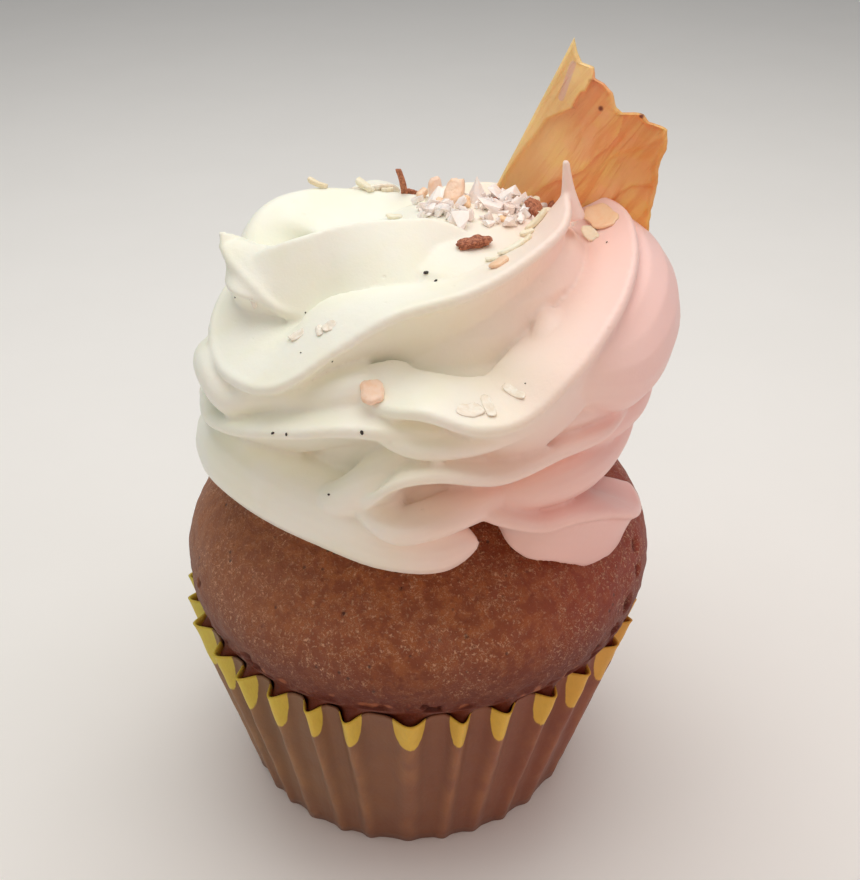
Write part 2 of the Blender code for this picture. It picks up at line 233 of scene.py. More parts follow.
def smoothCurve(knots, count):
    # rows read evenly from a smooth curve through the knots
    knots = np.array(knots, dtype=float)
    padded = np.vstack([2 * knots[0] - knots[1], knots, 2 * knots[-1] - knots[-2]])
    rows = []
    for place in np.linspace(0, len(knots) - 1, count):
        first = min(int(place), len(knots) - 2)
        t = place - first
        before, start, end, after = padded[first:first + 4]
        rows.append(
            start
            + 0.5 * t * (end - before)
            + 0.5 * t**2 * (2 * before - 5 * start + 4 * end - after)
            + 0.5 * t**3 * (3 * start - before - 3 * end + after)
        )
    return np.array(rows)


def smoothStep(low, high, value):
    t = np.clip((value - low) / (high - low), 0.0, 1.0)
    return t * t * (3 - 2 * t)


def lumps(point, size, seed):
    # smooth noise from -1 to 1 with lumps of this size in millimetres
    return noise.noise(Vector(point) / size + Vector((seed * 7.3, seed * 3.1, seed * 5.7)))


# the paper case, a ring of pleats on a flat round base
case = {
    "baseRadius": 26.4,
    "height": 33.3,
    "rimRadius": 34.5,
    "rimShift": 0.6,  # how far the rim sits to +X of the base
    "pleats": 32,
    "rimFold": 1.5,
    "baseFold": 0.35,
    "wall": 0.35,
    "foldDrift": 0.55,  # how unevenly the pleats are spread, in pleats
    "ripple": (0.16, 4.0),  # how far the paper's ripples stand out, and their size
    "rimWave": (0.3, 6.0),
    "rimDrop": 0.25,  # how far the very edge is lowered, so that its wave has room
    "tongue": 6.2,  # how far the dry yellow paper reaches down a fold
    "columns": 1024,
    "rows": 34,
}


def foldPhase(turn, part):
    # where a direction lies in its pleat, in radians; the pleats are uneven and lean a little lower down
    drift = 0.5 * math.sin(3 * turn + 0.8) + 0.34 * math.sin(7 * turn + 2.1)
    drift += 0.22 * math.sin(12 * turn + 4.0)
    lean = 0.35 * math.sin(5 * turn + 1.0) * (1 - part) + 0.25 * math.sin(9 * turn + 3.0) * (1 - part)
    return case["pleats"] * turn + 2 * math.pi * case["foldDrift"] * (drift * 0.55 + lean * 0.5)


def foldShape(phase):
    # 1 on an outer fold and -1 on an inner one; the outer folds are the narrower
    return (0.5 + 0.5 * math.cos(phase)) ** 2 * 2 - 1


def caseRadius(part, turn):
    # part is how far up the wall, from 0 to 1
    middle = case["baseRadius"] + (case["rimRadius"] - case["baseRadius"]) * part
    depth = case["baseFold"] + (case["rimFold"] - case["baseFold"]) * part ** 1.1
    big = 0.85 + 0.15 * math.sin(4.3 * turn + 0.5) * math.sin(9 * turn)
    return middle + depth * big * foldShape(foldPhase(turn, part))


def makeCase():
    finish = Finish("casePaper", Subsurface_Weight=0.12, Subsurface_Scale=0.001, Sheen_Weight=0.05)
    fold, drop = finish.kept("fold"), finish.kept("drop")
    x, z = finish.axis("X"), finish.axis("Z")
    fibre = finish.grain(0.5, 3, 0.6, finish.stretched(1, 1, 0.35))
    blotch = finish.grain(3.5, 3, 0.6, finish.stretched(1, 1, 0.6))
    sideways = (x / 36) ** 2
    reach = case["tongue"] + 3.4 * sideways + (blotch - 0.5) * 3.0
    edge = ((1 - fold) / (1.5 + 0.35 * sideways)) ** 2 + (drop / reach) ** 2 + (fibre - 0.5) * 0.16
    yellow = edge.step(1.06, 0.94)
    # paper made brown where the cake soaks it, with painted shade in its inner folds; greyer to the left,
    # and redder to the right where painted pink light falls
    soakedWithPaintedLight = finish.coats(
        paint(118, 66, 34),
        (blotch.step(0.35, 0.65), (154, 100, 54)),
        # painted shade in the inner folds
        (fold.step(0.95, -0.6) * 0.7, (94, 46, 22)),
    )
    greyer = finish.coats(soakedWithPaintedLight, (0.5, (148, 122, 84)))
    # painted pink light, reddening the paper to the right
    redder = finish.coats(soakedWithPaintedLight, (0.45, (150, 62, 38)))
    soakedWithPaintedLight = finish.coats(finish.mix(x.step(-34, 34), greyer, redder), (z.step(12, 0) * 0.4, (122, 72, 50)))
    dry = finish.coats(
        paint(214, 198, 72),
        # painted pink light, warming the yellow to orange towards the right
        (x.step(-34, 10), (228, 184, 60)),
        (x.step(12, 34) * 0.6, (220, 146, 62)),
        (fibre.step(0.3, 0.7) * 0.2, (196, 152, 60)),
    )
    finish.set("Base Color", finish.mix(yellow, soakedWithPaintedLight, dry))
    finish.set("Roughness", 0.5 + (blotch - 0.5) * 0.25)
    finish.set("Normal", finish.bump(fibre + blotch * 1.5, 0.12, 0.5))

    rippleDepth, rippleSize = case["ripple"]
    waveDepth, waveSize = case["rimWave"]
    rings, folds, drops = [], [], []
    levels = [case["height"] * (i / case["rows"]) ** 0.85 for i in range(case["rows"] + 1)]
    for inset, heights in ((0.0, levels), (case["wall"], levels[:0:-1])):
        for height in heights:
            part = height / case["height"]
            ring = []
            for turn in around(case["columns"]):
                radius = caseRadius(part, turn) - inset
                if part > 0.02:
                    radius += rippleDepth * lumps(onCircle((0, 0, height), radius, turn), rippleSize, 1)
                wave = waveDepth * lumps(onCircle((0, 0, 0), 40, turn), waveSize, 2)
                level = height + wave * smoothStep(0.8, 1.0, part) - (case["rimDrop"] if part == 1 else 0)
                level = min(max(level, inset), case["height"])
                ring.append(onCircle((case["rimShift"] * part, 0, level), radius, turn))
                folds.append(foldShape(foldPhase(turn, part)))
                drops.append(case["height"] - height)
            rings.append(ring)
    points, faces = joinRings(rings)
    piece = newPiece("paper_cupcake_case", points, faces, finish, values={"fold": folds, "drop": drops})
    faceOutwards(piece)
    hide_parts("paper_case")
    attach(piece, "root")


# the sponge, with the crust that shows above the case
sponge = {
    "columns": 460,
    "domeRadius": 35.4,
    "widest": 40.0,  # height where the dome is widest
    "top": 59.0,
    "shift": 1.4,  # how far the risen dome sits to +X
    "insideCase": 1.1,  # gap from the folds' inner line down in the case
    "swell": (0.45, 11.0),  # height and size of the crust's broad bumps
    "crumb": (0.16, 1.9),
    "crustFrom": 35.0,  # height where the crust's bumps and pits begin
    "roughEdge": 0.55,  # extra crumb where the dome meets the paper
    "hiddenRadius": 14,  # the cream hides the crust inside this, so it stays plain there
    "foldGap": 0.45,  # gap left to the paper where the cake has risen into its folds
    "fillsFrom": (24.0, 29.0),  # heights between which the folds fill
    "fillsTo": (31.8, 34.6),  # heights between which the cake leaves them again
    # hollows in the crust: azimuth, height, radius, depth
    "pits": [
        (226, 36.5, 1.2, 0.9), (229, 35.8, 0.9, 0.7), (274, 35.2, 1.3, 1.1), (272, 36.3, 0.6, 0.9),
        (331, 40, 1.5, 1.1), (338, 43, 1.0, 0.9), (341, 46, 1.1, 0.8), (326, 37, 1.6, 1.3),
        (318, 36.5, 1.1, 0.8), (282, 47, 0.35, 0.4), (252, 49, 0.3, 0.4), (266, 52, 0.35, 0.5),
        (205, 42, 0.8, 0.5), (20, 38, 1.4, 1.0), (55, 41, 1.0, 0.8), (95, 37, 1.3, 1.0),
        (130, 43, 0.9, 0.6), (165, 38, 1.2, 0.9),
    ],
}


def spongeRow(height):
    # radius of the cake down in the case, where it stays inside the folds
    part = height / case["height"]
    fold = case["baseRadius"] + (case["rimRadius"] - case["baseRadius"]) * part
    fold -= case["baseFold"] + (case["rimFold"] - case["baseFold"]) * part
    return fold - sponge["insideCase"]


def domeRadius(angle):
    # angle is 0 at the dome's widest row and a right angle at its top
    return sponge["domeRadius"] * math.cos(angle) ** 0.8


def fillFolds(radius, height, shift, turn):
    # near the rim the cake has risen into the folds of the paper
    part = min(height / case["height"], 1.0)
    full, gone = sponge["fillsTo"]
    share = float(smoothStep(*sponge["fillsFrom"], height) * smoothStep(gone, full, height))
    inFold = caseRadius(part, turn) - case["wall"] - sponge["foldGap"]
    return radius + share * (inFold - radius), shift + share * (case["rimShift"] * part - shift)


def makeSponge():
    finish = Finish("spongeCrust", Subsurface_Weight=0.08, Subsurface_Scale=0.0015, Specular_IOR_Level=0.45)
    x, z = finish.axis("X"), finish.axis("Z")
    broad, medium = finish.grain(9.0, 3, 0.55), finish.grain(1.6, 4, 0.6)
    fine, pore = finish.grain(0.5, 3, 0.7), finish.cells(1.7)
    # sugary specks and short curls, most of all high on the crust; they are smoother and stand out a
    # little, and their pale colour is a painted glint
    curls = abs(finish.grain(0.75, 2, 0.6, distortion=0.6) - 0.5)
    sugarAndGlints = fine.step(0.55, 0.68) + curls.step(0.022, 0.004) * medium.step(0.42, 0.6)
    sugarAndGlints = sugarAndGlints * (0.3 + 0.7 * broad.step(0.36, 0.6)) * z.step(33, 44)
    # painted shade in the small pores that the bump sinks
    poreShade = pore.step(0.2, 0.1) * finish.grain(4.0, 1).step(0.5, 0.6)
    finish.set("Base Color", finish.coats(
        paint(130, 62, 20),
        (medium.step(0.4, 0.6), (158, 88, 38)),
        (broad.step(0.4, 0.7) * 0.5, (150, 84, 56)),
        (x.step(-2, -36) * 0.55, (156, 104, 70)),
        # painted pink light, reddening the crust to the right
        (x.step(6, 36) * 0.68, (148, 40, 30)),
        (z.step(47, 35) * 0.85, (92, 26, 6)),
        # painted glints on the sugary specks
        (sugarAndGlints * 0.85, (228, 178, 142)),
        # painted shade in the pores
        (poreShade * 0.7, (52, 22, 18)),
        # painted shade in the hollows of the pits
        (finish.kept("pit").step(0.2, 0.9) * 0.6, (86, 36, 26)),
        (finish.kept("crumbs").step(0.6, 0.95) * 0.6, (180, 108, 72)),
    ))
    finish.set("Roughness", 0.56 - 0.2 * sugarAndGlints + 0.1 * (medium - 0.5))
    relief = medium * 0.6 + fine * 0.6 + sugarAndGlints * 0.25 + pore.step(0.0, 0.35) * 0.3
    finish.set("Normal", finish.bump(relief, 0.42, 0.85))

    profile = []  # radius, height and middle of each row
    for height in np.linspace(0.8, 32.0, 20):
        profile.append((spongeRow(height), height, case["rimShift"] * height / case["height"]))
    lift = sponge["top"] - sponge["widest"]
    for angle in np.radians(np.linspace(-26.0, 90.0, 150)):
        profile.append((domeRadius(angle), sponge["widest"] + lift * math.sin(angle), sponge["shift"]))
    pitPlaces = []
    for azimuth, height, size, depth in sponge["pits"]:
        angle = math.asin((height - sponge["widest"]) / lift)
        place = onCircle((sponge["shift"], 0, height), domeRadius(angle), math.radians(azimuth))
        pitPlaces.append((place, size, depth))
    rings, pits, crumbs = [], [], []
    for startRadius, height, startShift in profile:
        ring = []
        for turn in around(sponge["columns"]):
            radius, shift = fillFolds(max(startRadius, 0.4), height, startShift, turn)
            spot = onCircle((shift, 0, height), radius, turn)
            push, pit, crumb = 0.0, 0.0, 0.0
            if height > sponge["crustFrom"] and radius > sponge["hiddenRadius"]:
                push += sponge["swell"][0] * lumps(spot, sponge["swell"][1], 3)
                push += sponge["crumb"][0] * lumps(spot, sponge["crumb"][1], 4)
                nearRim = smoothStep(sponge["widest"], sponge["crustFrom"], height)
                rough = lumps(spot, 2.6, 5) + 0.5 * lumps(spot, 1.1, 6) - 0.3
                push += nearRim * sponge["roughEdge"] * rough
                crumb = nearRim * (0.5 + lumps(spot, 1.3, 7))
                for centre, size, depth in pitPlaces:
                    away = math.dist(spot, centre) / size
                    if away < 1.6:
                        ragged = away + 0.35 * lumps(spot, 0.7, 8)
                        hollow = float(smoothStep(1.1, 0.5, ragged))
                        push -= depth * hollow
                        pit = max(pit, hollow)
                        if 0.95 < ragged < 1.3:
                            crumb = max(crumb, 0.62)
            ring.append(onCircle((shift, 0, height + 0.25 * push), radius + push, turn))
            pits.append(pit)
            crumbs.append(crumb)
        rings.append(ring)
    points, faces = joinRings(rings)
    piece = newPiece("sponge_cake", points, faces, finish, values={"pit": pits, "crumbs": crumbs})
    faceOutwards(piece)
    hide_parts("sponge")
    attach(piece, "root")


# whipped cream
# The swirl leans to +X, so each tier has its own upright axis. A petal is one ridge of the piped star.
# Its edge runs through knots of azimuth, radius, height and nose radius. "top" and "under" are the ends
# of its two faces, inwards and up from the edge, spread evenly from the petal's start to its end.
bottomAxis, middleAxis, topAxis = 1.5, 2.5, 5.0
cream = {
    "voxel": 0.36,
    "stations": 90,
    "nosePoints": 9,
    "facePoints": 5,
    "taper": 0.07,  # share of a petal's length over which each end thins away
    "hollow": 1.7,  # how far the face under an edge is hollowed, where its petal says nothing else
    # height, axis and radius of the core inside the petals
    "core": [
        (40, bottomAxis, 18), (58, bottomAxis, 21), (62, bottomAxis, 26.5), (68, 2, 25),
        (75, 3, 26.5), (78.5, 4, 26.5), (81, topAxis, 20), (84.5, 6, 19), (88, 8.5, 16.5),
        (90.6, 9.5, 13.5), (91.9, 10, 9), (92.3, 10, 3),
    ],
    "petals": {
        "top, back left": {
            "axis": topAxis,
            "edge": [
                (66, 13, 88.6, 1.2), (100, 15, 89.4, 1.2), (123, 19, 89.8, 1.2), (141, 25, 89.8, 1.6),
                (156, 28.4, 88.8, 2.2), (170, 29.4, 86, 2.8), (186, 28, 82, 3.2),
            ],
            "top": [(11, -1), (14, -2), (17, -3), (19, -3.4), (17, -2), (12, 0), (8, 2)],
            "under": [(3, -5), (3, -6), (4, -7), (6, -8)],
        },
        "top, left lip": {
            "axis": topAxis,
            "edge": [
                (184, 30.5, 90, 0.7), (191, 29.4, 88.9, 0.8), (196, 28.5, 88.3, 0.9),
                (203, 27.4, 87.4, 0.9), (208, 26.5, 86.4, 0.9), (213, 25.1, 85.4, 0.9), (220, 22, 84.6, 1),
            ],
            "top": [(3, 1), (5, 3), (5, 3), (4, 2)],
            "under": [(5, -5), (5, -5), (5, -5)],
        },
        "top, crest on the plateau": {
            "axis": topAxis,
            "edge": [
                (182, 30.4, 91.6, 0.5), (186.5, 30, 89.4, 0.6), (190, 28.8, 88.6, 0.8),
                (194, 26.8, 89.2, 0.8), (197.5, 24.2, 90.8, 0.8), (201, 21.4, 92.1, 0.8),
                (203.5, 17.6, 93.1, 0.8), (206, 14.9, 93.6, 0.9), (211, 11.7, 93.8, 1), (221, 8.4, 93.8, 1),
                (247, 4.8, 93, 1.4), (290, 5, 91.4, 1.8), (320, 9, 89.4, 2),
            ],
            "top": [
                (3, 0), (5, 0), (6, 0), (7, 0), (7, -2), (7, -3), (7, -5), (7, -5), (7, -5), (7, -5),
                (7, -5), (6, -4), (6, -4),
            ],
            "under": [
                (1, -3), (1, -3), (-1.5, -2), (-4, -2.4), (-5, -4.4), (-6, -6.5), (-7.5, -8), (-9, -7.7),
                (-9, -6), (-9, -5), (-9, -4.6), (-8, -4), (-6, -3),
            ],
            "hollow": 0,
        },
        "top, left lobe": {
            "axis": topAxis,
            "edge": [
                (165, 28, 81, 4), (180, 29.6, 83.4, 4.2), (192, 29, 83.4, 4), (204, 26.5, 83, 3.4),
                (218, 22, 82, 2.4),
            ],
            "top": [(6, 3), (5, 2)],
            "under": [(0, -8), (0, -8)],
        },
        "top, front left": {
            "axis": topAxis,
            "edge": [
                (168, 28, 84, 1.5), (185, 31.5, 81.4, 1.1), (201, 33.4, 79.3, 1), (217, 34.4, 79.5, 0.9),
                (231, 33.5, 81.1, 0.9), (243, 28, 86, 0.9), (257, 24, 89.7, 0.9), (281, 21, 91.5, 0.9),
                (310, 19, 93.9, 0.9), (336, 18, 95, 0.8), (355, 17.2, 95.8, 0.8), (368, 17, 95.4, 0.8),
            ],
            "top": [
                (7, 6), (9, 5.5), (11, 5.4), (12, 5.4), (12, 5.2), (11, 2.4), (10, -0.3), (10, -2),
                (10, -4), (8, -5), (6, -5), (4, -5),
            ],
            "under": [(7, -5), (8, -5), (5, -9), (2, -11), (0, -10)],
        },
        "top, front right": {
            "axis": topAxis,
            "edge": [
                (241, 26, 81, 2.2), (249, 28.6, 79.6, 1.6), (257, 31, 80.3, 1), (266, 33, 81.3, 0.9),
                (277, 34.2, 79.8, 0.9), (287, 34.4, 80.6, 0.9), (299, 33.4, 84.8, 0.9),
                (313, 30.8, 88, 0.9), (332, 28, 90, 0.9), (352, 26.5, 91, 0.9), (376, 26, 91.6, 0.9),
                (394, 23, 91, 1.2),
            ],
            "top": [
                (7, 3), (8, 2.7), (9, 2), (10, 0.7), (10.5, 2), (11.5, 1.2), (12, -1.5), (12, -4), (12, -5),
                (11, -5), (10, -6), (9, -6),
            ],
            "under": [(6, -3), (7, -4.5), (6, -6.5), (3, -9), (1, -9), (1, -8), (2, -7)],
            "hollow": 2.2,
        },
        "top, roll in front": {
            "axis": topAxis,
            "edge": [
                (249, 28, 79, 1.6), (254, 31, 76.9, 1.2), (264, 33, 76, 1.1), (277, 33, 76.5, 1.1),
                (291, 31.8, 77.8, 1.3), (308, 30, 79, 1.6),
            ],
            "top": [(6, 1), (5, 2)],
            "under": [(3, -3), (3, -3)],
        },
        "top, right": {
            "axis": topAxis,
            "edge": [
                (292, 27.5, 81, 4), (307, 31, 80.6, 5.5), (322, 33.2, 79.6, 7), (340, 33.3, 81.4, 7.5),
                (360, 32.2, 83.5, 7), (380, 30.5, 84.8, 6), (400, 28, 86.5, 4), (420, 24, 87, 2.5),
            ],
            "top": [(12, 6), (10, 5), (8, 2)],
            "under": [(8, -6), (8, -8), (8, -6)],
        },
        "middle, left ridge": {
            "axis": middleAxis,
            "edge": [
                (165, 30, 70, 2.8), (182, 31.4, 73.6, 2.8), (198, 33, 76.4, 2.8), (207, 33.6, 76.6, 2.7),
                (214, 33.6, 75.8, 2.6), (219, 33, 75.6, 2.5), (224, 31.8, 77, 2.5), (229, 30.6, 77.8, 2.6),
                (238, 29.4, 78.4, 2.8), (248, 28.6, 79.4, 2.8), (259, 26.5, 80.6, 2.4),
            ],
            "top": [(8, 3), (8, 3), (8, 2)],
            "under": [(6, -3), (5, -3)],
        },
        "middle, front": {
            "axis": middleAxis,
            "edge": [
                (172, 30, 68.5, 1.5), (188, 31.8, 69.3, 1.1), (204, 33.2, 70, 1), (220, 33.8, 72.6, 0.9),
                (238, 33.6, 76, 0.9), (254, 32.2, 77.8, 1), (272, 31.2, 76.8, 1.4), (292, 31.2, 76.6, 1.5),
                (312, 31.6, 75.6, 1.8), (330, 31.6, 74.6, 2),
            ],
            "top": [(6, 1), (6, 2)],
            "under": [(7, -6.5), (7, -6.5), (6, -5), (4, -4)],
        },
        "bottom, left": {
            "axis": bottomAxis,
            "edge": [
                (160, 30, 58, 5), (182, 32, 61, 5.6), (203, 33, 62.8, 5.4), (222, 33.2, 63.8, 5),
                (244, 33.2, 62.9, 4.5), (262, 33.4, 60.6, 4), (276, 33, 59.8, 3.8), (286, 30.5, 60, 3.2),
            ],
            "top": [(9, 4.5), (9, 4.5), (8, 4)],
            "under": [(9, -7), (9, -7)],
        },
        "bottom, bowl in front": {
            "axis": bottomAxis,
            "edge": [
                (252, 29.5, 66, 2.2), (259, 33, 68.6, 1.1), (266, 34.2, 72.2, 0.8), (275, 34.6, 73.4, 0.8),
                (288, 34.8, 72.2, 0.8), (303, 34.2, 73.2, 0.9), (320, 33.6, 72.6, 1), (340, 31.4, 73, 1.4),
            ],
            "top": [(7, -1.5), (7, 0.5), (7, 0.5), (6, 0.5)],
            "under": [(5, -4), (9.5, -7), (9.5, -7.5), (7, -6), (4, -5)],
            "hollow": 3.4,
        },
        "bottom, roll in the bowl": {
            "axis": bottomAxis,
            "edge": [
                (253, 30, 67, 1.8), (259, 33, 65.2, 1.3), (266, 34.6, 64.3, 1.4), (274, 33.8, 64.6, 1.5),
                (284, 32, 65.2, 1.8), (294, 30.5, 65.8, 1.8),
            ],
            "top": [(5, 0.5), (6, 1.2), (6, 1.2)],
            "under": [(5, -3), (5, -3)],
        },
        "bottom, upper right": {
            "axis": bottomAxis,
            "edge": [
                (286, 29, 65, 2), (294, 31.4, 65.8, 2.4), (302, 32.8, 66.4, 3), (312, 33.2, 66.4, 3.4),
                (328, 32, 65.4, 3.4), (345, 31.8, 66.2, 3.6), (362, 31, 66.5, 3.4),
            ],
            "top": [(8, 2), (8, 3)],
            "under": [(8, -4), (8, -4)],
        },
        "bottom, lower right": {
            "axis": bottomAxis,
            "edge": [
                (284, 30, 65, 1.6), (290, 33, 64.3, 1.1), (299, 34.2, 62.5, 0.9), (308, 34.4, 62, 0.9),
                (320, 34.6, 59.4, 0.9), (331, 34.9, 55.6, 1), (342, 34.2, 52.5, 1.2), (358, 32, 50, 2),
            ],
            "top": [(9, 0), (9, 1.5), (8, 4)],
            "under": [(6, -5), (4, -8), (3, -11), (4, -9)],
        },
        "bottom, left shoulder": {
            "axis": bottomAxis,
            "edge": [
                (238, 29.5, 63, 2.4), (247, 31.8, 65.2, 3.2), (255, 32.4, 67.6, 3.4), (263, 31.6, 70, 3),
                (272, 30, 72.4, 2.4), (280, 28.5, 73.6, 2),
            ],
            "top": [(8, 2), (8, 2)],
            "under": [(8, -3), (8, -3)],
        },
        "middle, right": {
            "axis": middleAxis,
            "edge": [
                (312, 29.5, 70.5, 2.4), (328, 31.8, 70.6, 3.2), (344, 32.8, 71, 3.4), (362, 32, 72, 3.2),
                (380, 29, 73, 2.4),
            ],
            "top": [(8, 2), (8, 3)],
            "under": [(8, -3), (8, -3)],
        },
    },
    # petals round the back follow one rule; for the top tier: start, span, size, lift
    "topBack": ((5, 1.0, 0.98, 0.0), (60, 0.85, 0.96, 1.0), (105, 0.5, 0.98, -1.0)),
    # axis, height, and each petal's start and size
    "lowerBack": (
        (middleAxis, 67.0, ((330, 0.93), (25, 0.98), (75, 1.0), (116, 0.94))),
        (bottomAxis, 58.0, ((350, 0.95), (35, 0.97), (80, 0.99), (122, 0.96))),
    ),
    # thin points left where the nozzle was pulled away: places and radii along each
    "wisps": [
        [(22.3, 0.3, 93.0, 2.2), (22.1, 0.6, 95.4, 1.3), (21.8, 1.0, 97.4, 0.85), (21.4, 1.5, 100.6, 0.5)],
    ],
}


def petalSection(nose, top, under, hollow):
    # a round nose between two long faces, as points inwards and up from the edge
    points = []
    for t in np.linspace(1, 0, cream["facePoints"], endpoint=False):
        points.append((nose + t * (top[0] - nose), nose + t * (top[1] - nose) + 0.1 * top[0] * t * (1 - t)))
    # a face that runs outwards leaves the nose along its tangent, one that runs inwards from below it
    tangent = math.atan2(nose - under[0], under[1] + nose) % (2 * math.pi)
    last = tangent + (1.5 * math.pi - tangent) * min(1.0, max(0.0, under[0] / 2))
    for angle in np.linspace(math.pi / 2, last, cream["nosePoints"]):
        points.append((nose + nose * math.cos(angle), nose * math.sin(angle)))
    startIn, startUp = points[-1]
    run, drop = under[0] - startIn, under[1] - startUp
    for t in np.linspace(0, 1, cream["facePoints"] + 1)[1:]:
        deep = hollow * t * (1 - t) / math.hypot(run, drop)
        points.append((startIn + t * run - deep * drop, startUp + t * drop + deep * run))
    if under[0] < 0:
        points.append(((top[0] + under[0]) / 2, under[1] - 9))
    else:
        points.append((max(top[0], under[0]) + 5, under[1]))
    return points


def petalRings(petal):
    stations = cream["stations"]
    rows = smoothCurve(petal["edge"], stations)
    azimuth = np.radians(rows[:, 0])
    x, y = petal["axis"] + rows[:, 1] * np.cos(azimuth), rows[:, 1] * np.sin(azimuth)
    edge = np.column_stack([x, y, rows[:, 2]])
    along = np.gradient(edge[:, :2], axis=0)
    reach = stations // 10
    padded = np.pad(along, ((reach, reach), (0, 0)), "edge")
    along = sum(padded[shift:shift + stations] for shift in range(2 * reach + 1))
    along /= np.linalg.norm(along, axis=1)[:, None]
    tops, unders = smoothCurve(petal["top"], stations), smoothCurve(petal["under"], stations)
    rings = []
    for i, place in enumerate(np.linspace(0, 1, stations)):
        fromEnd = min(place, 1 - place) / cream["taper"]
        size = math.sqrt(1 - (1 - min(fromEnd, 0.97)) ** 2) if fromEnd < 1 else 1.0
        inward = np.array([-along[i, 1], along[i, 0], 0.0])
        section = petalSection(rows[i, 3], tops[i], unders[i], petal.get("hollow", cream["hollow"]))
        rings.append([edge[i] + size * (inner * inward + np.array([0, 0, up])) for inner, up in section])
    return rings


def backPetals():
    petals = []
    for start, span, size, lift in cream["topBack"]:
        petals.append({
            "axis": topAxis,
            "edge": [
                (start, 28 * size, 77, 1.6), (start + 16 * span, 33 * size, 78, 0.9),
                (start + 34 * span, 34 * size, 79, 0.9), (start + 50 * span, 31 * size, 84 + lift, 0.9),
                (start + 66 * span, 27 * size, 87.5 + lift, 0.9),
                (start + 90 * span, 21 * size, 88 + lift, 1), (start + 110 * span, 14 * size, 86, 1.4),
            ],
            "top": [(12, 2), (12, 1), (8, -3), (6, -4)],
            "under": [(5, -5), (5, -7), (3, -8), (2, -6)],
        })
    for axis, base, starts in cream["lowerBack"]:
        for start, size in starts:
            petals.append({
                "axis": axis,
                "edge": [
                    (start, 30 * size, base - 1, 2), (start + 12, 33 * size, base + 0.5, 1),
                    (start + 28, 34.4 * size, base + 2, 0.9), (start + 46, 34 * size, base + 6, 0.9),
                    (start + 66, 32.6 * size, base + 9, 1), (start + 84, 30 * size, base + 10, 1.6),
                ],
                "top": [(9, 2), (9, 2)],
                "under": [(6, -5), (6, -7), (5, -6)],
            })
    return petals


def makeCream():
    finish = Finish("whippedCream", Subsurface_Weight=0.2, Subsurface_Scale=0.002, Specular_IOR_Level=0.35)
    finish.set("Subsurface Radius", (1.0, 0.75, 0.55))
    x, z = finish.axis("X"), finish.axis("Z")
    soft, small, tiny = finish.grain(9.0, 2), finish.grain(1.3, 3, 0.55), finish.grain(0.35, 2, 0.6)
    finish.set("Base Color", finish.coats(
        paint(250, 251, 238),
        (soft.step(0.4, 0.65) * 0.4, (245, 246, 220)),
        # painted pink light, falling more strongly towards +X
        (x.step(-4, 24) * 0.7, (252, 228, 214)),
        (x.step(8, 36) * 0.85, (254, 208, 204)),
        # painted warm shade on the lower tiers, from the middle to the right
        (z.step(82, 62) * x.step(-12, 14) * 0.6, (246, 190, 182)),
    ))
    finish.set("Roughness", 0.4 + (small - 0.5) * 0.3)
    bubbles = finish.cells(2.6).step(0.14, 0.05) * finish.grain(6.0, 1).step(0.55, 0.62)
    finish.set("Normal", finish.bump(small * 0.5 + tiny * 0.22 - bubbles * 0.6, 0.14, 0.6))

    points, faces = [], []
    skins = [petalRings(petal) for petal in list(cream["petals"].values()) + backPetals()]
    for wisp in cream["wisps"]:
        skins.append([[onCircle(row[:3], row[3], turn) for turn in around(16)]
                      for row in smoothCurve(wisp, 24)])
    skins.append([[onCircle((axis, 0, height), radius, turn) for turn in around(48)]
                  for height, axis, radius in cream["core"]])
    for rings in skins:
        skinPoints, skinFaces = joinRings(rings)
        faces += [tuple(index + len(points) for index in face) for face in skinFaces]
        points += skinPoints
    piece = newPiece("whipped_cream", points, faces, finish)
    faceOutwards(piece)
    merge = piece.modifiers.new("merge petals", "REMESH")
    merge.mode = "VOXEL"
    merge.voxel_size = cream["voxel"] * mm
    merge.use_smooth_shade = True
    soften = piece.modifiers.new("soften", "SMOOTH")
    soften.factor = 0.5
    soften.iterations = 2
    settleModifiers(piece)
    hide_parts("cream")
    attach(piece, "root")
    return piece


